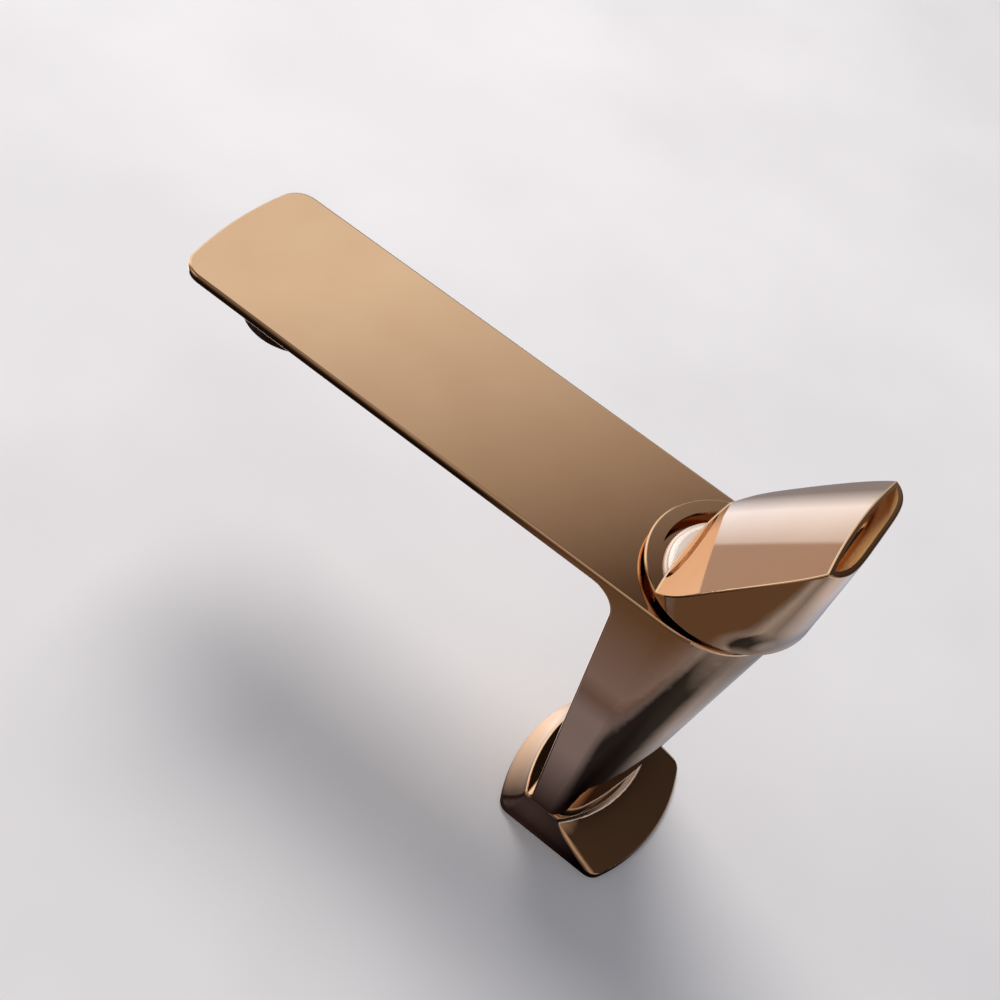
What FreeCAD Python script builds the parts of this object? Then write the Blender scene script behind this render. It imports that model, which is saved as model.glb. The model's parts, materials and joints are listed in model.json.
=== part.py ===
import FreeCAD, Part
import math
import os

# Single-lever basin mixer for a deck. Millimetres, +Z up, the spout points to -Y.
# The origin is where the lever's upright axis meets the deck, in the middle of the foot.

os.makedirs("parts", exist_ok=True)

# Spout: a flat blade with a water channel and an outlet boss under it
spout_width = 46.0
spout_height = 110.6  # deck to the top of the blade
spout_reach = 157.0  # lever's axis to the tip
blade_thickness = 2.7
tip_bow = 2.6
tip_corner = 6.7
belly_width = 23.0
belly_drop = 9.5  # below the blade
belly_round = 4.0
outlet_setback = 24.5  # tip to the outlet's axis
boss_radius = 15.0
boss_drop = 12.2  # below the blade
inner_bend = 7.1  # blade's underside to the column
edge_round = 0.8

# Column: a D-shaped section that grows towards its top
column_front = 10.4  # at the foot
column_front_top = 17.9  # at the blade
waist_setback = 4.0  # where the flat sides end at the foot, in front of the lever's axis
waist_depth = 10.4  # round back of the section at the foot
top_setback = 4.4  # where the flat sides end at the top, in front of the lever's axis
front_blend = 1.5  # column's front to the ledge
column_sink = 3.0  # column's root inside the foot
slope_start = 2.0  # start of the sloped top, behind the lever's axis
slope_angle = math.radians(8)

# Foot: a flared skirt with a thin rim and a narrow ledge round the column
foot_flare = 1.75  # beyond the column on each side
foot_front = 22.9
foot_front_bow = 6.5
foot_rear = 22.9
foot_rear_bow = 6.2
foot_corner = 4.4
foot_height = 12.3
rim_height = 2.2
ledge_front = 17.7
ledge_front_bow = 5.5
ledge_rear = 7.8
ledge_rear_bow = 8.6
ledge_corner = 1.2
ledge_round = 0.6
flare_power = 1.7
flare_steps = 5

# Deck fixing
gasket_radius = 18.6
gasket_width = 2.4
gasket_height = 1.6
inlet_radius = 5.0
inlet_depth = 10.0
inlet_spread = 12.0  # from the lever's axis
stud_radius = 4.0
stud_lead = 9.0  # in front of the lever's axis
stud_depth = 10.0
stud_length = 62.0  # below the deck's top
deck_thickness = 20.0
clamp_radius = 21.0
clamp_rubber_height = 3.0
clamp_plate_height = 2.5
clamp_slot_width = 12.0
clamp_nut_height = 10.0
clamp_nut_flats = 13.0

# Waterways in the body
feed_radius = 1.8
channel_width = 15.0
channel_height = 4.0
channel_floor_drop = 10.0  # top of the blade to the channel's floor
channel_rise = 0.5  # outlet chamber above the channel
riser_depth = 1.3
riser_wall = 1.2
cross_height = 4.0
cross_drop = 10.0  # cartridge seat to the floor of the crossing channel
chamber_radius = 10.5

# Cartridge
pivot_depth = 24.0  # top of the blade to the lever's level pin
cartridge_radius = 11.0
cartridge_base_height = 4.0
port_spread = 3.4
port_front = 3.9
port_radius = 1.5
outlet_port_back = 3.6
outlet_port_radius = 1.9
seal_width = 1.2
seal_height = 0.9
seal_land = 0.2
disc_height = 4.0
fixed_disc_radius = 9.2
moving_disc_radius = 7.4
mix_pocket_radius = 3.5
mix_pocket_depth = 1.8
driver_height = 4.9
ball_radius = 3.0
ball_arm = 10.5  # level pin to the ball
ball_gap = 0.45  # ball to the moving disc
lug_inside = 4.2
lug_outside = 5.8
lug_height = 1.2
lug_length = 5.0
rotor_radius = 8.2
rotor_neck_radius = 6.6
rotor_top = 5.5  # above the level pin
shoulder_drop = 1.5  # level pin to the rotor's shoulder
pin_radius = 1.5
pin_inset = 0.2
stem_waist = 6.0
stem_depth = 7.0
stem_rod_radius = 2.2
stem_slot = 10.6
stem_square = 8.0
stem_square_start = 7.2  # above the level pin
stem_square_rise = 10.0  # above the top of the ring
glide_height = 0.6
lip_height = 3.8
housing_wall = 1.7
nut_thread_radius = 12.6
nut_thread_length = 7.0
nut_hex_height = 3.7
nut_hex_flats = 23.5
access_radius = 14.0

# Dome: a low cap over the cartridge
skirt_radius = 16.6
dome_rise = 2.1  # above the blade
dome_round = 2.4
dome_wall = 1.3
dome_hole_radius = 9.8
collar_depth = 4.3
dome_seal_depth = 0.6
dome_seal_height = 1.4
dome_seal_lift = 1.0

# Handle: a ring with an obliquely cut cylinder on it
handle_radius = 22.0
top_half_width = 19.6  # across the handle's top
top_fullness = 5.0  # power of the top's outline; 2 is a circle
handle_steps = 5
outline_points = 48
handle_rise = 37.1  # top of the ring to the top of the handle
ring_gap = 1.8
ring_thickness = 1.2
ring_hole_radius = 18.1
recess_rise = 1.6  # space over the dome, above the ring
handle_round = 0.5
face_lead = 12.4  # foot of the oblique face, in front of the lever's axis
face_setback = 16.0  # top of the oblique face, behind the lever's axis
face_radius = 164.0  # across the face
face_crown = 0.4  # bulge along the face
lip_wall = 0.8
back_wall = 1.2
pocket_depth = 7.0
pocket_round = 3.0
screw_radius = 2.5
screw_length = 8.0
screw_rise = 5.0  # above the top of the ring
screw_socket_flats = 2.5
screw_socket_depth = 3.0
plug_radius = 3.2
plug_length = 4.0

# Aerator
aerator_radius = 12.0
aerator_wall = 2.3
aerator_lip = 1.3
aerator_lip_height = 1.0
aerator_flange_radius = 13.0
aerator_flange_height = 2.0
washer_height = 1.4
screen_height = 0.6
screen_hole_radius = 0.45
core_hole_radius = 0.9
hole_pitch = 2.6
hole_rings = 3

# Clearances
running_fit = 0.1
pin_fit = 0.05
thread_fit = 0.1
seat_fit = 0.05
face_gap = 0.2
overrun = 2.0
pick_tolerance = 0.05  # for choosing edges by their boxes

# Heights and places that follow
half_width = spout_width / 2
top_z = spout_height
blade_z = top_z - blade_thickness
pivot_z = top_z - pivot_depth
collar_z = top_z - collar_depth
ring_low = top_z + ring_gap
ring_top = ring_low + ring_thickness
handle_top = ring_top + handle_rise
screw_z = ring_top + screw_rise
stem_top = ring_top + stem_square_rise
outlet_y = outlet_setback - spout_reach
stud_y = -stud_lead
collar_radius = skirt_radius + running_fit


# The cartridge's stack hangs below the ball
ball_z = pivot_z - ball_arm
moving_top = ball_z - ball_radius - ball_gap
moving_low = moving_top - disc_height
disc_top = moving_low - pin_fit
base_top = disc_top - disc_height
seat_z = base_top - cartridge_base_height


def point(x, y, z):
    return FreeCAD.Vector(x, y, z)


def line(start, end):
    return Part.LineSegment(start, end).toShape()


def arc(start, middle, end):
    return Part.Arc(start, middle, end).toShape()


def cylinder(radius, low, high, x=0, y=0):
    return Part.makeCylinder(radius, high - low, point(x, y, low))


def tube(outer, inner, low, high, x=0, y=0):
    return cylinder(outer, low, high, x, y).cut(cylinder(inner, low - overrun, high + overrun, x, y))


def block(x_low, x_high, y_low, y_high, low, high):
    return Part.makeBox(x_high - x_low, y_high - y_low, high - low, point(x_low, y_low, low))


def hexagon(flats, low, high, x=0, y=0):
    corner = flats / math.sqrt(3)
    turns = [math.pi * step / 3 for step in range(7)]
    corners = [point(x + corner * math.cos(turn), y + corner * math.sin(turn), low) for turn in turns]
    return Part.Face(Part.makePolygon(corners)).extrude(point(0, 0, high - low))


def across(edges, width):
    # A closed outline in the mid-plane, made a solid of this width
    solid = Part.Face(Part.Wire(edges)).extrude(point(width, 0, 0))
    solid.translate(point(-width / 2, 0, 0))
    return solid


def polygon(corners):
    return [line(corners[step - 1], corners[step]) for step in range(len(corners))]


def joined(first, *others):
    return first.fuse(list(others)).removeSplitter()


def rounded(shape, radius, wanted):
    # Rounds the edges whose bounding box is wanted
    return shape.makeFillet(radius, [edge for edge in shape.Edges if wanted(edge.BoundBox)])


def save(name, shape):
    solids = shape.Solids
    result = solids[0] if len(solids) == 1 else Part.makeCompound(solids)
    print(name, len(solids), "valid" if result.isValid() else "NOT VALID", round(result.Volume, 1))
    result.exportStep("parts/" + name + ".step")


def bowed_end(half, apex, bow, corner, z, side):
    # The bowed end of an outline, from its +X side to its -X side; side is -1 in front and 1 behind
    bow_radius = (half ** 2 + bow ** 2) / (2 * bow)
    middle = side * (apex - bow_radius)
    reach = math.sqrt((bow_radius - corner) ** 2 - (half - corner) ** 2)
    corner_x = half - corner
    corner_y = middle + side * reach
    turn = math.atan2(side * reach, corner_x)
    touch = point(bow_radius * math.cos(turn), middle + bow_radius * math.sin(turn), z)
    bisector = turn / 2
    between = point(corner_x + corner * math.cos(bisector), corner_y + corner * math.sin(bisector), z)
    start = point(half, corner_y, z)
    mirrored = [point(-p.x, p.y, p.z) for p in (touch, between, start)]
    edges = [arc(start, between, touch), arc(touch, point(0, side * apex, z), mirrored[0]), arc(*mirrored)]
    return edges, corner_y


def rounded_outline(half, front, front_bow, rear, rear_bow, corner, z):
    front_edges, front_side = bowed_end(half, front, front_bow, corner, z, -1)
    rear_edges, rear_side = bowed_end(half, rear, rear_bow, corner, z, 1)
    left = line(point(-half, front_side, z), point(-half, rear_side, z))
    right = line(point(half, rear_side, z), point(half, front_side, z))
    return Part.Wire(front_edges + [left] + rear_edges[::-1] + [right])


def front_y(z):
    # The column's front, which leans out towards the blade
    share = (z - foot_height) / (blade_z - foot_height)
    return -column_front - share * (column_front_top - column_front)


def column_back(side, depth, z):
    # Half an ellipse across the column, closed by its chord
    diagonal = half_width / math.sqrt(2)
    quarters = [
        arc(point(half_width, 0, 0), point(diagonal, diagonal, 0), point(0, half_width, 0)),
        arc(point(0, half_width, 0), point(-diagonal, diagonal, 0), point(-half_width, 0, 0)),
    ]
    place = FreeCAD.Matrix()
    place.A22 = depth / half_width
    place.A24 = side
    place.A34 = z
    edges = [quarter.transformGeometry(place).Edges[0] for quarter in quarters]
    return Part.Wire(edges + [line(point(-half_width, side, z), point(half_width, side, z))])


def column_blank():
    # Flat front and sides, and a round back that leans and grows towards the top
    low = foot_height - column_sink
    flats = across(polygon([
        point(0, front_y(low), low),
        point(0, -waist_setback, low),
        point(0, -top_setback, top_z),
        point(0, front_y(top_z), top_z),
    ]), spout_width)
    sections = [column_back(-waist_setback, waist_depth, low), column_back(-top_setback, half_width, top_z)]
    return joined(flats, Part.makeLoft(sections, True, True))


def corner_blend(y, z, level, reach):
    # Fills the corner between the column's front and a level face; level is 1 above it and -1 below
    corner = point(0, y, z)
    along = point(0, -1, 0)
    up = point(0, front_y(blade_z) - front_y(foot_height), blade_z - foot_height)
    up = up.normalize() * level
    turn = math.acos(along.dot(up))
    radius = reach * math.tan(turn / 2)
    centre = corner + (along + up) * (reach / (1 + math.cos(turn)))
    middle = centre + (corner - centre).normalize() * radius
    first = corner + along * reach
    last = corner + up * reach
    inside = corner - (along + up) * overrun
    return across([arc(first, middle, last), line(last, inside), line(inside, first)], spout_width)


def foot_blank():
    # The flare leaves the rim at a slant and meets the ledge upright
    def level(share, z):
        def between(low, high):
            return high + (low - high) * (1 - share) ** flare_power
        return rounded_outline(
            between(half_width + foot_flare, half_width),
            between(foot_front, ledge_front),
            between(foot_front_bow, ledge_front_bow),
            between(foot_rear, ledge_rear),
            between(foot_rear_bow, ledge_rear_bow),
            between(foot_corner, ledge_corner),
            z,
        )

    def at(z):
        return lambda box: box.ZMin > z - pick_tolerance and box.ZMax < z + pick_tolerance

    shares = [step / flare_steps for step in range(flare_steps + 1)]
    rim = Part.Face(level(0, 0)).extrude(point(0, 0, rim_height))
    rise = foot_height - rim_height
    flare = Part.makeLoft([level(s, rim_height + s * rise) for s in shares], True, False)
    return rounded(rounded(joined(rim, flare), ledge_round, at(foot_height)), ledge_round, at(rim_height))


def blade_blank():
    edges, side = bowed_end(half_width, spout_reach, tip_bow, tip_corner, blade_z, -1)
    end = overrun - column_front_top
    corners = [point(-half_width, side, blade_z), point(-half_width, end, blade_z),
               point(half_width, end, blade_z), point(half_width, side, blade_z)]
    edges += [line(corners[step], corners[step + 1]) for step in range(3)]
    return Part.Face(Part.Wire(edges)).extrude(point(0, 0, blade_thickness))


def belly_blank():
    half = belly_width / 2
    low = blade_z - belly_drop
    run = block(-half, half, outlet_y, overrun - column_front, low, blade_z + overrun)
    lowest = low + pick_tolerance
    run = rounded(run, belly_round, lambda box: box.ZMax < lowest and box.XLength < pick_tolerance)
    boss = cylinder(boss_radius, blade_z - boss_drop, blade_z + overrun, y=outlet_y)
    return joined(run, boss)


def slope_tool():
    # What the sloped top behind the lever's axis takes away
    end = half_width + overrun
    drop = (end - slope_start) * math.tan(slope_angle)
    return across(polygon([
        point(0, slope_start, top_z),
        point(0, end, top_z - drop),
        point(0, end, top_z + overrun),
        point(0, slope_start, top_z + overrun),
    ]), spout_width + 2 * overrun)


def feed_tool(side):
    low = point(side * inlet_spread, 0, inlet_depth - feed_radius)
    high = point(side * port_spread, -port_front, seat_z + overrun)
    return Part.makeCylinder(feed_radius, (high - low).Length, low, high - low)


def riser_tool(low, high):
    # A flat waterway that runs up behind the column's front
    def pair(z):
        start = front_y(z) + riser_wall
        return [point(0, start, z), point(0, start + riser_depth, z)]
    return across(polygon(pair(low) + pair(high)[::-1]), channel_width)


def top_edge(box):
    # An edge of the blade's or the sloped top's outline
    high = box.ZMin > blade_z - inner_bend and box.ZMax > blade_z + pick_tolerance
    upright = box.XLength + box.YLength < pick_tolerance
    crossing = box.XLength > spout_width - pick_tolerance and box.YLength < pick_tolerance
    return high and not upright and not crossing


def under_edge(box):
    # An edge under the blade, round the bend or down the column's front
    between = box.ZMax > foot_height + pick_tolerance and box.ZMax < blade_z + pick_tolerance
    ahead = box.YMax < pick_tolerance - column_front
    return between and ahead and box.XLength < spout_width - pick_tolerance


channel_z = top_z - channel_floor_drop
channel_top = channel_z + channel_height


def make_body():
    bend = corner_blend(front_y(blade_z), blade_z, -1, inner_bend)
    toe = corner_blend(front_y(foot_height), foot_height, 1, front_blend)
    upper = joined(column_blank(), blade_blank(), bend, toe).cut(slope_tool()).removeSplitter()
    upper = rounded(rounded(upper, edge_round, top_edge), edge_round, under_edge)
    body = joined(upper, foot_blank(), belly_blank())

    cross_z = seat_z - cross_drop
    cross_top = cross_z + cross_height
    cross_front = front_y(cross_z) + riser_wall
    wide = channel_width / 2
    nut_z = pivot_z - nut_thread_length - face_gap
    tools = [
        cylinder(cartridge_radius + running_fit, seat_z, nut_z + overrun),
        cylinder(nut_thread_radius + thread_fit, nut_z, pivot_z + overrun),
        cylinder(access_radius, pivot_z, collar_z + overrun),
        cylinder(collar_radius, collar_z, top_z + overrun),
        feed_tool(1),
        feed_tool(-1),
        cylinder(outlet_port_radius, cross_z, seat_z + overrun, y=outlet_port_back),
        block(-outlet_port_radius, outlet_port_radius, cross_front, outlet_port_back, cross_z, cross_top),
        riser_tool(cross_z, channel_top),
        block(-wide, wide, outlet_y, front_y(channel_z) + riser_wall + riser_depth, channel_z, channel_top),
        cylinder(chamber_radius, channel_z, channel_top + channel_rise, y=outlet_y),
        cylinder(aerator_radius, blade_z - boss_drop - overrun, channel_z, y=outlet_y),
        cylinder(inlet_radius, -overrun, inlet_depth, inlet_spread),
        cylinder(inlet_radius, -overrun, inlet_depth, -inlet_spread),
        cylinder(stud_radius + seat_fit, -overrun, stud_depth + face_gap, y=stud_y),
        tube(gasket_radius + gasket_width, gasket_radius, -overrun, gasket_height),
    ]
    return body.cut(tools)


def make_clamp_outline(low, high):
    # A round plate with a notch on each side for the supply hoses
    plate = cylinder(clamp_radius, low, high)
    half = clamp_slot_width / 2
    under = low - overrun
    over = high + overrun
    for side in (1, -1):
        start = side * inlet_spread
        end = side * (clamp_radius + overrun)
        notch = block(min(start, end), max(start, end), -half, half, under, over)
        plate = plate.cut([notch, cylinder(half, under, over, start)])
    return plate.cut(cylinder(stud_radius + face_gap, under, over, y=stud_y))


def ports(extra):
    # The two inlets and the outlet, as (x, y, radius)
    return [
        (port_spread, -port_front, port_radius + extra),
        (-port_spread, -port_front, port_radius + extra),
        (0, outlet_port_back, outlet_port_radius + extra),
    ]


def port_tools(extra, low, high):
    return [cylinder(radius, low, high, x, y) for x, y, radius in ports(extra)]


driver_top = moving_top + driver_height
rotor_low = driver_top + running_fit
shoulder_z = pivot_z - shoulder_drop
glide_low = shoulder_z + running_fit
lip_low = glide_low + glide_height
lip_top = lip_low + lip_height
lip_radius = rotor_neck_radius + running_fit
rotor_bore = rotor_radius + running_fit
neck_radius = rotor_bore + housing_wall
nut_low = pivot_z - nut_thread_length
disc_bore = fixed_disc_radius + running_fit


def make_seals():
    rings = []
    for low in (seat_z, base_top - seal_height):
        for x, y, radius in ports(seal_land):
            rings.append(tube(radius + seal_width, radius, low, low + seal_height, x, y))
    return Part.makeCompound(rings)


def make_cartridge_base():
    base = cylinder(cartridge_radius, seat_z, base_top)
    grooves = port_tools(seal_land + seal_width, seat_z - overrun, seat_z + seal_height)
    grooves += port_tools(seal_land + seal_width, base_top - seal_height, base_top + overrun)
    cores = [tube(radius + seal_land, radius, seat_z, base_top, x, y) for x, y, radius in ports(0)]
    return joined(base.cut(grooves), *cores).cut(port_tools(0, seat_z - overrun, base_top + overrun))


def make_fixed_disc():
    disc = cylinder(fixed_disc_radius, base_top, disc_top)
    return disc.cut(port_tools(0, base_top - overrun, disc_top + overrun))


def make_moving_disc():
    disc = cylinder(moving_disc_radius, moving_low, moving_top)
    return disc.cut(cylinder(mix_pocket_radius, moving_low - overrun, moving_low + mix_pocket_depth))


lug_spans = ((lug_inside, lug_outside), (-lug_outside, -lug_inside))


def make_driver():
    driver = cylinder(moving_disc_radius, moving_top, driver_top)
    half = lug_length / 2
    lugs = [block(low, high, -half, half, moving_top, driver_top + lug_height) for low, high in lug_spans]
    socket = cylinder(ball_radius + running_fit, moving_top - overrun, driver_top + overrun)
    return joined(driver, *lugs).cut(socket)


def make_rotor():
    low = rotor_low - overrun
    high = pivot_z + rotor_top
    neck = cylinder(rotor_neck_radius, shoulder_z, high)
    rotor = joined(cylinder(rotor_radius, rotor_low, shoulder_z), neck)
    half_slot = stem_waist / 2 + running_fit
    tools = [block(-half_slot, half_slot, -stem_slot / 2, stem_slot / 2, low, high + overrun)]
    lug_top = driver_top + lug_height + running_fit
    for near, far in lug_spans:
        sides = (near - running_fit, far + running_fit, -rotor_radius, rotor_radius)
        tools.append(block(*sides, low, lug_top))
    start = point(-rotor_radius, 0, pivot_z)
    bore = Part.makeCylinder(pin_radius + pin_fit, rotor_radius * 2, start, point(1, 0, 0))
    return rotor.cut(tools + [bore])


def make_pivot_pin():
    half = rotor_neck_radius - pin_inset
    return Part.makeCylinder(pin_radius, half * 2, point(-half, 0, pivot_z), point(1, 0, 0))


def make_glide_ring():
    return tube(rotor_bore - pin_fit, lip_radius, glide_low, lip_low)


def make_housing():
    step_z = rotor_low - pin_fit
    outside = joined(cylinder(cartridge_radius, base_top, nut_low), cylinder(neck_radius, nut_low, lip_top))
    inside = [
        cylinder(disc_bore, base_top - overrun, step_z),
        cylinder(rotor_bore, step_z - overrun, lip_low),
        cylinder(lip_radius, lip_low - overrun, lip_top + overrun),
    ]
    return outside.cut(inside)


def make_cartridge_nut():
    hex_low = pivot_z + face_gap
    hex_top = hex_low + nut_hex_height
    nut = joined(cylinder(nut_thread_radius, nut_low, hex_low), hexagon(nut_hex_flats, hex_low, hex_top))
    return nut.cut(cylinder(neck_radius + running_fit, nut_low - overrun, hex_top + overrun))


seal_low = collar_z + dome_seal_lift
seal_top = seal_low + dome_seal_height
groove_radius = skirt_radius - dome_seal_depth


def make_dome():
    crown_z = top_z + dome_rise
    under_z = crown_z - dome_wall
    shell = cylinder(skirt_radius, collar_z, crown_z)
    shell = rounded(shell, dome_round, lambda box: box.ZMin > crown_z - pick_tolerance)
    hollow = cylinder(skirt_radius - dome_wall, collar_z - overrun, under_z)
    hollow = rounded(hollow, dome_round - dome_wall, lambda box: box.ZMin > under_z - pick_tolerance)
    hole = cylinder(dome_hole_radius, collar_z, crown_z + overrun)
    groove = tube(collar_radius + overrun, groove_radius, seal_low, seal_top)
    return shell.cut([hollow, hole, groove])


def face_barrel(inset):
    # The big leaning barrel whose front is the oblique face
    foot = point(0, -face_lead, ring_top)
    head = point(0, face_setback, handle_top)
    chord = head - foot
    along = point(0, chord.y, chord.z).normalize()
    inward = point(0, along.z, -along.y)
    bulge_radius = (chord.Length ** 2 / 4 + face_crown ** 2) / (2 * face_crown)
    crest = foot + chord / 2 - inward * face_crown
    reach = chord.Length
    sag = bulge_radius - math.sqrt(bulge_radius ** 2 - reach ** 2)
    crest = crest + inward * inset
    ends = [crest + along * side * reach + inward * sag for side in (-1, 1)]
    axis = crest + inward * face_radius
    feet = [axis + along * side * reach for side in (1, -1)]
    outline = [arc(ends[0], crest, ends[1])]
    outline += [line(ends[1], feet[0]), line(feet[0], feet[1]), line(feet[1], ends[0])]
    barrel = Part.Face(Part.Wire(outline)).revolve(axis, along, 360)
    barrel.rotate(axis, along, 180)
    return barrel


def handle_outline(fullness, half, depth, z):
    # A closed curve between an ellipse and a rounded rectangle
    places = []
    for step in range(outline_points):
        turn = 2 * math.pi * step / outline_points
        away = (abs(math.cos(turn)) ** fullness + abs(math.sin(turn)) ** fullness) ** (-1 / fullness)
        places.append(point(half * away * math.cos(turn), depth * away * math.sin(turn), z))
    curve = Part.BSplineCurve()
    curve.interpolate(places, PeriodicFlag=True)
    return Part.Wire(curve.toShape())


def handle_blank(inset):
    # Round at the ring, narrower and fuller towards the top
    shares = [step / handle_steps for step in range(handle_steps + 1)]
    radius = handle_radius - inset
    outlines = [handle_outline(2, radius, radius, ring_low)]
    for share in shares:
        fullness = 2 + (top_fullness - 2) * share
        half = radius + (top_half_width - handle_radius) * share
        outlines.append(handle_outline(fullness, half, radius, ring_top + share * handle_rise))
    return Part.makeLoft(outlines, True, False)


def level_bore(radius, start, end, z):
    # A bore along Y, from start to end behind the lever's axis
    return Part.makeCylinder(radius, end - start, point(0, start, z), point(0, 1, 0))


def make_handle():
    before_face = cylinder(2 * handle_radius, ring_top, handle_top + overrun).cut(face_barrel(0))
    handle = handle_blank(0).cut(before_face)
    handle = rounded(handle, handle_round, lambda box: box.XLength + box.YLength > pick_tolerance)
    floor_z = handle_top - pocket_depth
    pocket = handle_blank(back_wall).common(face_barrel(lip_wall))
    pocket = pocket.common(cylinder(2 * handle_radius, floor_z, handle_top))
    pocket = rounded(pocket, pocket_round, lambda box: box.ZMax < floor_z + pick_tolerance)
    half = stem_square / 2 + seat_fit
    tools = [
        cylinder(ring_hole_radius, ring_low - overrun, ring_top),
        cylinder(ring_hole_radius, ring_low, ring_top + recess_rise).common(face_barrel(lip_wall)),
        pocket,
        block(-half, half, -half, half, pivot_z, stem_top + face_gap),
        level_bore(screw_radius + seat_fit, stem_square / 2, handle_radius + overrun, screw_z),
        level_bore(plug_radius + seat_fit, handle_radius - plug_length, handle_radius + overrun, screw_z),
    ]
    return handle.cut(tools)


def make_stem():
    half = stem_square / 2
    waist = stem_waist / 2
    deep = stem_depth / 2
    square_low = pivot_z + stem_square_start
    square = block(-half, half, -half, half, square_low, stem_top)
    middle = block(-waist, waist, -deep, deep, pivot_z - deep, square_low)
    rod = cylinder(stem_rod_radius, ball_z, pivot_z)
    ball = Part.makeSphere(ball_radius, point(0, 0, ball_z))
    start = point(-waist - overrun, 0, pivot_z)
    hole = Part.makeCylinder(pin_radius + pin_fit, stem_waist + 2 * overrun, start, point(1, 0, 0))
    return joined(square, middle, rod, ball).cut(hole)


def make_set_screw():
    back = stem_square / 2
    screw = level_bore(screw_radius, back, back + screw_length, screw_z)
    socket = hexagon(screw_socket_flats, 0, screw_socket_depth + overrun)
    socket.rotate(point(0, 0, 0), point(1, 0, 0), -90)
    socket.translate(point(0, back + screw_length - screw_socket_depth, screw_z))
    return screw.cut(socket)


def make_plug():
    plug = level_bore(plug_radius, handle_radius - plug_length, handle_radius + overrun, screw_z)
    return plug.common(handle_blank(0))


boss_z = blade_z - boss_drop
washer_low = channel_z - washer_height
aerator_bore = aerator_radius - aerator_wall
flange_top = boss_z - face_gap
flange_low = flange_top - aerator_flange_height
core_low = flange_low + aerator_lip_height
screen_low = washer_low - screen_height


def hole_places():
    # A centre hole and rings of six, twelve and so on around it
    places = [(0, outlet_y)]
    for ring in range(1, hole_rings + 1):
        for step in range(6 * ring):
            turn = math.pi * step / (3 * ring)
            reach = ring * hole_pitch
            places.append((reach * math.cos(turn), outlet_y + reach * math.sin(turn)))
    return places


def make_aerator_ring():
    outside = joined(cylinder(aerator_radius - thread_fit, flange_low, washer_low, y=outlet_y),
                     cylinder(aerator_flange_radius, flange_low, flange_top, y=outlet_y))
    lip = cylinder(aerator_bore - aerator_lip, flange_low - overrun, washer_low + overrun, y=outlet_y)
    return outside.cut([lip, cylinder(aerator_bore, core_low, washer_low + overrun, y=outlet_y)])


def holed_disc(low, high, hole_radius):
    disc = cylinder(aerator_bore - running_fit, low, high, y=outlet_y)
    return disc.cut([cylinder(hole_radius, low - overrun, high + overrun, x, y) for x, y in hole_places()])


def make_washer():
    return tube(aerator_radius - thread_fit, aerator_bore - aerator_lip, washer_low, channel_z, y=outlet_y)


rubber_top = -deck_thickness
plate_top = rubber_top - clamp_rubber_height
nut_top = plate_top - clamp_plate_height
nut_bottom = nut_top - clamp_nut_height
nut_hole = cylinder(stud_radius + seat_fit, nut_bottom - overrun, nut_top + overrun, y=stud_y)

save("body", make_body())
save("base_gasket", tube(gasket_radius + gasket_width, gasket_radius, 0, gasket_height))
save("mounting_stud", cylinder(stud_radius, -stud_length, stud_depth, y=stud_y))
save("clamp_rubber", make_clamp_outline(plate_top, rubber_top))
save("clamp_plate", make_clamp_outline(nut_top, plate_top))
save("clamp_nut", hexagon(clamp_nut_flats, nut_bottom, nut_top, y=stud_y).cut(nut_hole))

save("cartridge_base", make_cartridge_base())
save("port_seals", make_seals())
save("fixed_disc", make_fixed_disc())
save("moving_disc", make_moving_disc())
save("disc_driver", make_driver())
save("rotor", make_rotor())
save("pivot_pin", make_pivot_pin())
save("glide_ring", make_glide_ring())
save("cartridge_housing", make_housing())
save("cartridge_nut", make_cartridge_nut())

save("dome", make_dome())
save("dome_seal", tube(collar_radius, groove_radius, seal_low, seal_top))

save("handle", make_handle())
save("stem", make_stem())
save("set_screw", make_set_screw())
save("screw_plug", make_plug())

save("aerator_ring", make_aerator_ring())
save("aerator_core", holed_disc(core_low, screen_low, core_hole_radius))
save("aerator_screen", holed_disc(screen_low, washer_low, screen_hole_radius))
save("aerator_washer", make_washer())
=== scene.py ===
import bpy
import json
from mathutils import Matrix, Vector

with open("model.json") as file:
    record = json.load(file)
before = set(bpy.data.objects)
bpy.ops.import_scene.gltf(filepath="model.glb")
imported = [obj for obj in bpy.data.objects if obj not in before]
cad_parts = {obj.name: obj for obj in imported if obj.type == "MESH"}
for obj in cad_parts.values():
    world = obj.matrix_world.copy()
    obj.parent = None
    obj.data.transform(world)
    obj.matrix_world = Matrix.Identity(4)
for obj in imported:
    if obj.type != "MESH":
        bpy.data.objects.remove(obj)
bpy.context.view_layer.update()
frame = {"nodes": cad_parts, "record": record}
nodes = frame["nodes"]
bpy.ops.object.select_all(action="DESELECT")


def linear(code):
    # sRGB hex to linear colour with alpha
    parts = [int(code[i:i + 2], 16) / 255 for i in (1, 3, 5)]
    return [p / 12.92 if p <= 0.04045 else ((p + 0.055) / 1.055) ** 2.4 for p in parts] + [1.0]


def add(tree, kind, links=(), stops=(), **settings):
    # One shader node: links are (own input, other node, other output), settings are its properties or inputs,
    # and stops are (place, hex colour) along a colour ramp
    node = tree.nodes.new(kind)
    for key, value in settings.items():
        if hasattr(node, key):
            setattr(node, key, value)
        else:
            node.inputs[key.replace("_", " ")].default_value = value
    for own, other, out in links:
        tree.links.new(other.outputs[out], node.inputs[own])
    if stops:
        band = node.color_ramp.elements
        while len(band) < len(stops):
            band.new(0.5)
        for stop, (place, colour) in zip(band, stops):
            stop.position = place
            stop.color = linear(colour)
    return node


def span(start, end):
    # Settings of a range that gives 0 at its start and 1 at its end
    return {"From_Min": start, "From_Max": end}


def material(name):
    made = bpy.data.materials.new(name)
    made.use_nodes = True
    tree = made.node_tree
    return made, tree, tree.nodes["Principled BSDF"]


def mm(size):
    # Pattern scale for features of about this many millimetres
    return 1000.0 / size


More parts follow.
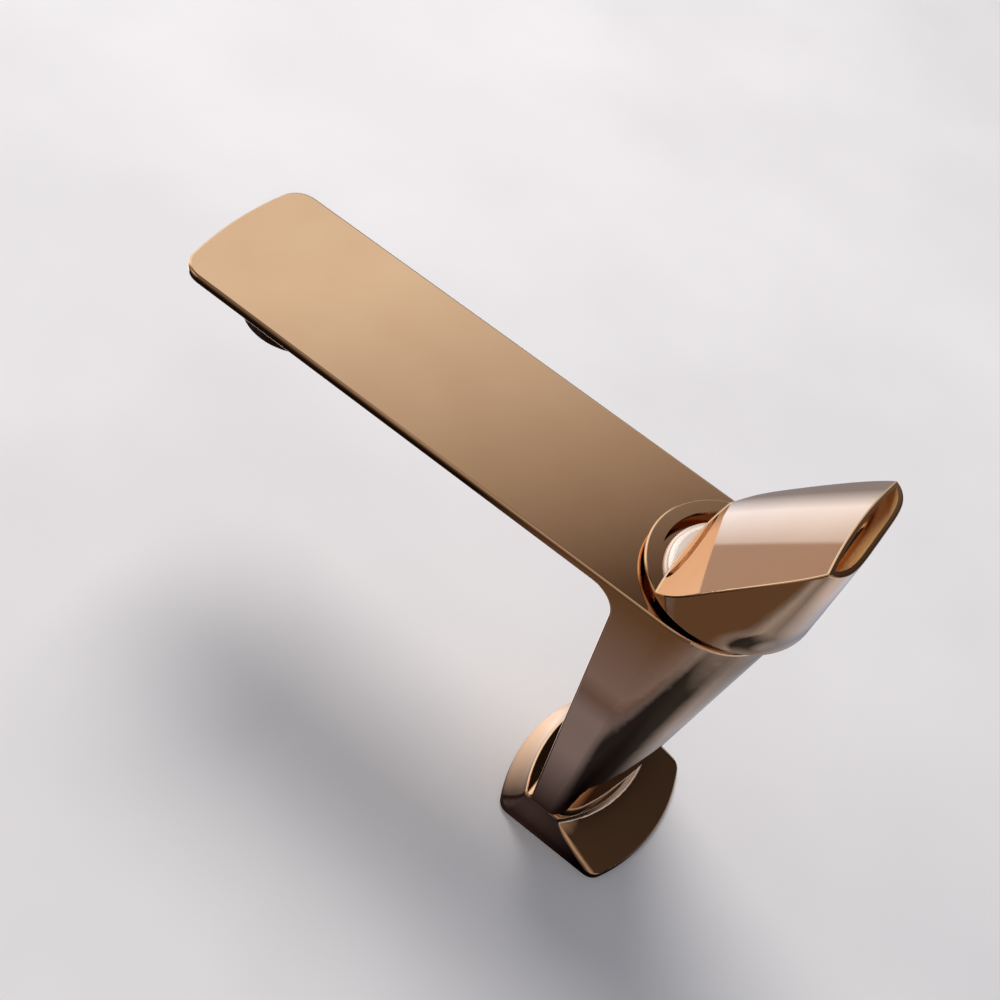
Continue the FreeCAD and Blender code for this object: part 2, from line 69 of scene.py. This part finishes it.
def clouded(name, look):
    # A finish whose colour drifts between two tones in a soft pattern
    made, tree, shader = material(name)
    spot = add(tree, "ShaderNodeTexCoord")
    cloud = add(tree, "ShaderNodeTexNoise", [("Vector", spot, "Object")],
                Scale=mm(look["pattern"]), Detail=look["detail"])
    tint = add(tree, "ShaderNodeValToRGB", [("Fac", cloud, "Fac")], look["tones"])
    tree.links.new(tint.outputs["Color"], shader.inputs["Base Color"])
    for socket in ("Metallic", "Roughness"):
        if socket.lower() in look:
            shader.inputs[socket].default_value = look[socket.lower()]
    return made, tree, shader, cloud, tint


# Rose-gold plating over polished brass: a warm mirror with faint wipe marks in its gloss
rosePlate = {"pattern": 18, "detail": 3.0, "tones": [(0.3, "#DCB491"), (0.7, "#E0B996")],
             "metallic": 1.0, "wipe": (0.3, 0.7), "gloss": (0.035, 0.05)}


def roseGold():
    made, tree, shader, cloud, tint = clouded("polishedRoseGold", rosePlate)
    gloss = add(tree, "ShaderNodeMapRange", [("Value", cloud, "Fac")], **span(*rosePlate["wipe"]),
                To_Min=rosePlate["gloss"][0], To_Max=rosePlate["gloss"][1])
    tree.links.new(gloss.outputs["Result"], shader.inputs["Roughness"])
    return made, tree, shader, tint, gloss


# The lever's plating: the same mirror, but satin inside the dish at its top, where a paler, less metallic gold is a
# painted golden glow standing in for light bounced about the dish
dishGlowLook = {"rearY": (0.0172, 0.0176), "facingY": (-0.15, -0.5),  # where the dish is, and which way it looks
             "tones": [(0.0, "#DEB693"), (1.0, "#F2C486")], "satin": (0.04, 0.3), "metallic": 0.3}


def roseGoldWithDishGlow():
    made, tree, shader, plate, gloss = roseGold()
    made.name = "roseGoldWithPaintedDishGlow"
    spot = add(tree, "ShaderNodeTexCoord")
    place = add(tree, "ShaderNodeSeparateXYZ", [("Vector", spot, "Object")])
    facing = add(tree, "ShaderNodeSeparateXYZ", [("Vector", spot, "Normal")])
    rear = add(tree, "ShaderNodeMapRange", [("Value", place, "Y")], **span(*dishGlowLook["rearY"]))
    front = add(tree, "ShaderNodeMapRange", [("Value", facing, "Y")], **span(*dishGlowLook["facingY"]))
    dish = add(tree, "ShaderNodeMath", [(0, rear, "Result"), (1, front, "Result")], operation="MULTIPLY")
    # painted glow: golden tone on the dish faces that look forward, standing in for light bounced inside the dish
    paintedDishGlow = add(tree, "ShaderNodeValToRGB", [("Fac", dish, "Value")], dishGlowLook["tones"])
    tint = add(tree, "ShaderNodeMix", [("Factor", dish, "Value"), (6, plate, "Color"), (7, paintedDishGlow, "Color")],
               data_type="RGBA")
    rough = add(tree, "ShaderNodeMapRange", [("Value", dish, "Value")],
                To_Min=dishGlowLook["satin"][0], To_Max=dishGlowLook["satin"][1])
    satin = add(tree, "ShaderNodeMix", [("Factor", dish, "Value"), (2, gloss, "Result"), (3, rough, "Result")])
    metal = add(tree, "ShaderNodeMapRange", [("Value", dish, "Value")], To_Min=1.0, To_Max=dishGlowLook["metallic"])
    tree.links.new(tint.outputs[2], shader.inputs["Base Color"])
    tree.links.new(satin.outputs[0], shader.inputs["Roughness"])
    tree.links.new(metal.outputs["Result"], shader.inputs["Metallic"])
    return made


# Zinc plating of the stud and plate: cool grey with cloudy spangle
zincPlate = {"spangle": 4, "tones": [(0.0, "#A9ADB3"), (0.8, "#C4C7CB")], "metallic": 1.0, "roughness": 0.36}


def zincSteel():
    made, tree, shader = material("zincPlatedSteel")
    spot = add(tree, "ShaderNodeTexCoord")
    spangle = add(tree, "ShaderNodeTexVoronoi", [("Vector", spot, "Object")], Scale=mm(zincPlate["spangle"]))
    tint = add(tree, "ShaderNodeValToRGB", [("Fac", spangle, "Distance")], zincPlate["tones"])
    tree.links.new(tint.outputs["Color"], shader.inputs["Base Color"])
    shader.inputs["Metallic"].default_value = zincPlate["metallic"]
    shader.inputs["Roughness"].default_value = zincPlate["roughness"]
    return made


# The bonnet under the lever: paler and softer, a painted sheen that stands in for the bright window it mirrors, so
# that it shows bright in the ring's shadow
bonnetSheenLook = {"pattern": 9, "detail": 3.0, "tones": [(0.3, "#F6E4DA"), (0.7, "#FBEEE6")],
             "metallic": 0.45, "roughness": 0.22}
# Turned brass of the fixings: yellower and duller, with fine lathe streaks
turnedBrass = {"pattern": 3, "detail": 4.0, "tones": [(0.3, "#B99A58"), (0.7, "#CDAF6C")],
               "metallic": 1.0, "roughness": 0.32}
# Moulded rubber of seals and gasket: near black, dusty where it is worn
mouldedRubber = {"pattern": 2, "detail": 5.0, "tones": [(0.35, "#1B1B1C"), (0.75, "#2A2A2B")],
                 "roughness": 0.7}
# Acetal of the cartridge: warm white with a faint flow pattern
mouldedAcetal = {"pattern": 6, "detail": 2.0, "tones": [(0.3, "#DDDBD4"), (0.7, "#E6E5DF")],
                 "roughness": 0.4}
# Lapped alumina of the discs: smooth ivory with fine grain
lappedDisc = {"pattern": 1.5, "detail": 3.0, "tones": [(0.3, "#EDE9DF"), (0.7, "#F4F1E8")],
              "roughness": 0.15}

finishes = {
    "rose_gold": roseGold()[0],
    "raw_brass": clouded("machinedBrass", turnedBrass)[0],
    "zinc_steel": zincSteel(),
    "black_rubber": clouded("blackRubber", mouldedRubber)[0],
    "white_plastic": clouded("whiteAcetal", mouldedAcetal)[0],
    "ceramic": clouded("lappedAlumina", lappedDisc)[0],
}
slots = {part["node"]: part["material_slot"] for part in frame["record"]["subparts"]}
for name, node in nodes.items():
    node.data.materials.clear()
    node.data.materials.append(finishes[slots[name]])
# the lever gets the rose gold with a painted golden glow in its dish
nodes["handle"].data.materials[0] = roseGoldWithDishGlow()
# the bonnet gets the painted pale sheen in place of the lever's plating
nodes["dome"].data.materials[0] = clouded("paintedSheenBonnetGold", bonnetSheenLook)[0]
print("materials on", len(nodes), "CAD nodes")

# Stage: a pale floor under the foot
floorPlate = {"size": 12.0, "height": -0.0001, "pattern": 120, "detail": 3.0,
              "tones": [(0.3, "#CFCFD4"), (0.7, "#D9D9DD")], "roughness": 0.55}
bpy.ops.mesh.primitive_plane_add(size=floorPlate["size"], location=(0, 0, floorPlate["height"]))
floor = bpy.context.object
floor.name = "counterFloor"

# Painted reflection on the floor, a colour map shown only to the metal's mirror rays, in metres on it: lengths are
# (outer, inner) or (start, end) of a soft border
paintedFloorReflection = {
    "besideX": (-0.05, 0.16),  # across the column's flat side
    "beside": [(0.38, "#2C2529"), (0.475, "#848699"), (0.55, "#848699"),
               (0.58, "#6E656C"), (0.61, "#837F8A"), (0.75, "#675646")],
    "leanShare": -0.5, "behindLean": (0.02, 0.15), "turnLean": (0.0, 0.03),  # lean is Y plus this share of X
    "behind": [(0.0, "#82858E"), (0.2, "#A6AAB4"), (0.5, "#868A94"), (1.0, "#D2DCF0")],
    "farX": (-0.12, -0.2), "farBearing": (0.65, 1.55), "farGain": 2.0,  # far to the left, by Y over X
    "far": [(0.0, "#717783"), (0.15, "#CFDFF8"), (0.48, "#B0B5C3"), (0.52, "#8D8380")],
    "rearPaintedShadow": [(-0.014, 0.014), (0.072, 0.058), (-0.008, 0.01), (0.095, 0.065)],  # painted shadow behind the column, dark in the reflection
    "frontPaintedShadow": [(0.02, 0.04), (0.4, 0.3), (-0.4, -0.3), (-0.05, -0.09)],  # painted shadow beside the outlet, dark in the reflection
    # how dark the painted shadows get
    "paintedShadowLevel": 0.09,
    "toe": "#F4F4F8", "toeLevel": 1.5,  # painted pool of light before the foot, glowing in the reflection
    "toeX": (0.022, -0.012), "toeY": (-0.016, -0.026), "toeEndX": (-0.2, -0.12),
}


def field(tree, place, borders):
    # Share of a soft-edged rectangle, whose borders are at its low X, high X, low Y and high Y
    sides = [add(tree, "ShaderNodeMapRange", [("Value", place, axis)], **span(*border))
             for axis, border in zip("XXYY", borders)]
    across = add(tree, "ShaderNodeMath", [(0, sides[0], "Result"), (1, sides[1], "Result")], operation="MULTIPLY")
    cut = add(tree, "ShaderNodeMath", [(0, across, "Value"), (1, sides[2], "Result")], operation="MULTIPLY")
    return add(tree, "ShaderNodeMath", [(0, cut, "Value"), (1, sides[3], "Result")], operation="MULTIPLY")


# Pale honed quartz: softly clouded to the eye, and glowing to the metal's mirror rays with a painted reflection map
def paleQuartzWithPaintedReflection(look):
    made, tree, shader = clouded("paleQuartzCounterWithPaintedReflection", floorPlate)[:3]
    spot = add(tree, "ShaderNodeTexCoord")
    place = add(tree, "ShaderNodeSeparateXYZ", [("Vector", spot, "Object")])
    aside = add(tree, "ShaderNodeMapRange", [("Value", place, "X")], **span(*look["besideX"]))
    beside = add(tree, "ShaderNodeValToRGB", [("Fac", aside, "Result")], look["beside"])
    lean = add(tree, "ShaderNodeMath", [(0, place, "X"), (2, place, "Y")], operation="MULTIPLY_ADD")
    lean.inputs[1].default_value = look["leanShare"]
    rear = add(tree, "ShaderNodeMapRange", [("Value", lean, "Value")], **span(*look["behindLean"]))
    behind = add(tree, "ShaderNodeValToRGB", [("Fac", rear, "Result")], look["behind"])
    turn = add(tree, "ShaderNodeMapRange", [("Value", lean, "Value")], **span(*look["turnLean"]))
    near = add(tree, "ShaderNodeMix", [("Factor", turn, "Result"), (6, beside, "Color"), (7, behind, "Color")],
               data_type="RGBA")
    heading = add(tree, "ShaderNodeMath", [(0, place, "Y"), (1, place, "X")], operation="DIVIDE")
    bearing = add(tree, "ShaderNodeMapRange", [("Value", heading, "Value")], **span(*look["farBearing"]))
    far = add(tree, "ShaderNodeValToRGB", [("Fac", bearing, "Result")], look["far"])
    bright = add(tree, "ShaderNodeVectorMath", [("Vector", far, "Color")], operation="SCALE", Scale=look["farGain"])
    beyond = add(tree, "ShaderNodeMapRange", [("Value", place, "X")], **span(*look["farX"]))
    whole = add(tree, "ShaderNodeMix", [("Factor", beyond, "Result"), (6, near, 2), (7, bright, "Vector")],
                data_type="RGBA")
    # painted shadows: dark soft rectangles behind the column and beside the outlet
    rearPaintedShadow = field(tree, place, look["rearPaintedShadow"])
    frontPaintedShadow = field(tree, place, look["frontPaintedShadow"])
    dark = add(tree, "ShaderNodeMath", [(0, rearPaintedShadow, "Value"), (1, frontPaintedShadow, "Value")], operation="MAXIMUM")
    shade = add(tree, "ShaderNodeMapRange", [("Value", dark, "Value")], To_Min=1.0, To_Max=look["paintedShadowLevel"])
    # painted reflection: the graded colour map glows, seen only in the metal's mirror rays
    paintedReflectionGlow = add(tree, "ShaderNodeEmission", [("Color", whole, 2), ("Strength", shade, "Result")])
    # painted pool of light before the foot: a cream glow seen only in the metal
    left = add(tree, "ShaderNodeMapRange", [("Value", place, "X")], **span(*look["toeX"]), To_Max=look["toeLevel"])
    front = add(tree, "ShaderNodeMapRange", [("Value", place, "Y")], **span(*look["toeY"]))
    end = add(tree, "ShaderNodeMapRange", [("Value", place, "X")], **span(*look["toeEndX"]))
    corner = add(tree, "ShaderNodeMath", [(0, left, "Result"), (1, front, "Result")], operation="MULTIPLY")
    toe = add(tree, "ShaderNodeMath", [(0, corner, "Value"), (1, end, "Result")], operation="MULTIPLY")
    paintedToeGlow = add(tree, "ShaderNodeEmission", [("Strength", toe, "Value")], Color=linear(look["toe"]))
    mirrored = add(tree, "ShaderNodeAddShader", [(0, paintedReflectionGlow, "Emission"), (1, paintedToeGlow, "Emission")])
    ray = add(tree, "ShaderNodeLightPath")
    both = add(tree, "ShaderNodeMixShader",
               [("Fac", ray, "Is Glossy Ray"), (1, shader, "BSDF"), (2, mirrored, "Shader")])
    tree.links.new(both.outputs["Shader"], tree.nodes["Material Output"].inputs["Surface"])
    return made


# the floor carries the painted reflection map for the metal
floor.data.materials.append(paleQuartzWithPaintedReflection(paintedFloorReflection))

# World: soft daylight; the metal mirrors it bright beyond the spout and dim behind the part
daylight = {
    "soft": "#E9EBF0", "softStrength": 0.55,
    "slant": (-0.65, -1.35), "seen": [(0.0, "#1F1814"), (0.1, "#645850"), (0.24, "#B0A9A2"), (0.48, "#F7FAF8")],
    "low": (0.25, 0.6), "lowLevel": 0.05, "ahead": (-0.5, -0.65), "aheadLevel": 1.4,
    "right": (0.05, 0.4), "spread": (0.4, 0.6), "spreadLevel": 0.35, "overhead": (0.87, 0.96),
    "room": [(0.0, "#A3978C"), (1.0, "#C9BDB0")],
    "back": (0.1, 0.4), "dim": [(0.0, "#302A27"), (1.0, "#483F39")],
    "flareAim": (0.75, -0.2, 0.63), "flare": (0.965, 0.99), "flareLevel": 0.6,
}


def softDaylight(look):
    world = bpy.data.worlds.new("bathroomDaylight")
    bpy.context.scene.world = world
    world.use_nodes = True
    tree = world.node_tree
    spot = add(tree, "ShaderNodeTexCoord")
    aim = add(tree, "ShaderNodeSeparateXYZ", [("Vector", spot, "Generated")])
    slant = add(tree, "ShaderNodeMath", [(0, aim, "X"), (1, aim, "Y")], operation="ADD")
    reach = add(tree, "ShaderNodeMapRange", [("Value", slant, "Value")], **span(*look["slant"]))
    seen = add(tree, "ShaderNodeValToRGB", [("Fac", reach, "Result")], look["seen"])
    low = add(tree, "ShaderNodeMapRange", [("Value", aim, "Z")], **span(*look["low"]), To_Min=look["lowLevel"])
    ahead = add(tree, "ShaderNodeMapRange", [("Value", aim, "Y")], **span(*look["ahead"]), To_Max=look["aheadLevel"])
    right = add(tree, "ShaderNodeMapRange", [("Value", aim, "X")], **span(*look["right"]))
    sideways = add(tree, "ShaderNodeMath", [(0, aim, "Y")], operation="ABSOLUTE")
    spread = add(tree, "ShaderNodeMapRange", [("Value", sideways, "Value")], **span(*look["spread"]),
                 To_Min=look["spreadLevel"])
    side = add(tree, "ShaderNodeMath", [(0, right, "Result"), (1, spread, "Result")], operation="MULTIPLY")
    back = add(tree, "ShaderNodeMapRange", [("Value", aim, "Y")], **span(*look["back"]))
    overhead = add(tree, "ShaderNodeMapRange", [("Value", aim, "Z")], **span(*look["overhead"]))
    clear = add(tree, "ShaderNodeMath", [(0, low, "Result"), (1, ahead, "Result")], operation="MAXIMUM")
    wide = add(tree, "ShaderNodeMath", [(0, clear, "Value"), (1, side, "Value")], operation="MAXIMUM")
    glow = add(tree, "ShaderNodeMath", [(0, wide, "Value"), (1, back, "Result")], operation="MAXIMUM")
    rise = add(tree, "ShaderNodeMapRange", [("Value", aim, "Z")], **span(0.0, 1.0))
    room = add(tree, "ShaderNodeValToRGB", [("Fac", rise, "Result")], look["room"])
    dim = add(tree, "ShaderNodeValToRGB", [("Fac", rise, "Result")], look["dim"])
    rearSky = add(tree, "ShaderNodeMix", [("Factor", back, "Result"), (6, seen, "Color"), (7, dim, "Color")],
                  data_type="RGBA")
    sideSky = add(tree, "ShaderNodeMix", [("Factor", side, "Value"), (6, rearSky, 2), (7, room, "Color")],
                  data_type="RGBA")
    sky = add(tree, "ShaderNodeMix", [("Factor", overhead, "Result"), (6, sideSky, 2), (7, room, "Color")],
              data_type="RGBA")
    toward = add(tree, "ShaderNodeVectorMath", [(0, spot, "Generated")], operation="DOT_PRODUCT")
    toward.inputs[1].default_value = Vector(look["flareAim"]).normalized()
    flare = add(tree, "ShaderNodeMapRange", [("Value", toward, "Value")], **span(*look["flare"]),
                To_Max=look["flareLevel"])
    strength = add(tree, "ShaderNodeMath", [(0, glow, "Value"), (1, flare, "Result")], operation="ADD")
    mirrored = tree.nodes["Background"]
    tree.links.new(sky.outputs[2], mirrored.inputs["Color"])
    tree.links.new(strength.outputs["Value"], mirrored.inputs["Strength"])
    soft = add(tree, "ShaderNodeBackground", Color=linear(look["soft"]), Strength=look["softStrength"])
    ray = add(tree, "ShaderNodeLightPath")
    both = add(tree, "ShaderNodeMixShader",
               [("Fac", ray, "Is Glossy Ray"), (1, soft, "Background"), (2, mirrored, "Background")])
    tree.links.new(both.outputs["Shader"], tree.nodes["World Output"].inputs["Surface"])


softDaylight(daylight)

# One broad soft lamp from the left of the spout
softLamp = {"name": "windowLight", "spot": (-0.35, -0.4, 0.9), "target": (0, -0.05, 0.05),
            "size": 0.5, "power": 9.0, "colour": "#FFF8F0"}
bpy.ops.object.light_add(type="AREA", location=softLamp["spot"])
lamp = bpy.context.object
lamp.name = softLamp["name"]
lamp.data.shape = "DISK"
lamp.data.size = softLamp["size"]
lamp.data.energy = softLamp["power"]
lamp.data.color = linear(softLamp["colour"])[:3]
lamp.visible_glossy = False  # the metal mirrors the world and the floor alone
shine = Vector(softLamp["target"]) - Vector(softLamp["spot"])
lamp.rotation_euler = shine.to_track_quat("-Z", "Y").to_euler()
print("stage and lights made")

# Camera at the photo's place; turn is the rotation vector of its right, down and forward axes
eye = {"spot": (0.2324, 0.0135, 0.3731), "turn": (1.06339, 2.32181, -0.62588),
       "lens": 52.2, "sensor": 36.0, "nearest": 0.01}
turn = Vector(eye["turn"])
toRight, toDown, toFront = Matrix.Rotation(turn.length, 3, turn.normalized())
aim = Matrix((toRight, -toDown, -toFront)).transposed().to_4x4()
bpy.ops.object.camera_add()
camera = bpy.context.object
camera.matrix_world = Matrix.Translation(eye["spot"]) @ aim
camera.data.lens = eye["lens"]
camera.data.sensor_width = eye["sensor"]
camera.data.clip_start = eye["nearest"]
bpy.context.scene.camera = camera
bpy.context.scene.view_settings.view_transform = "Standard"
print("camera placed")
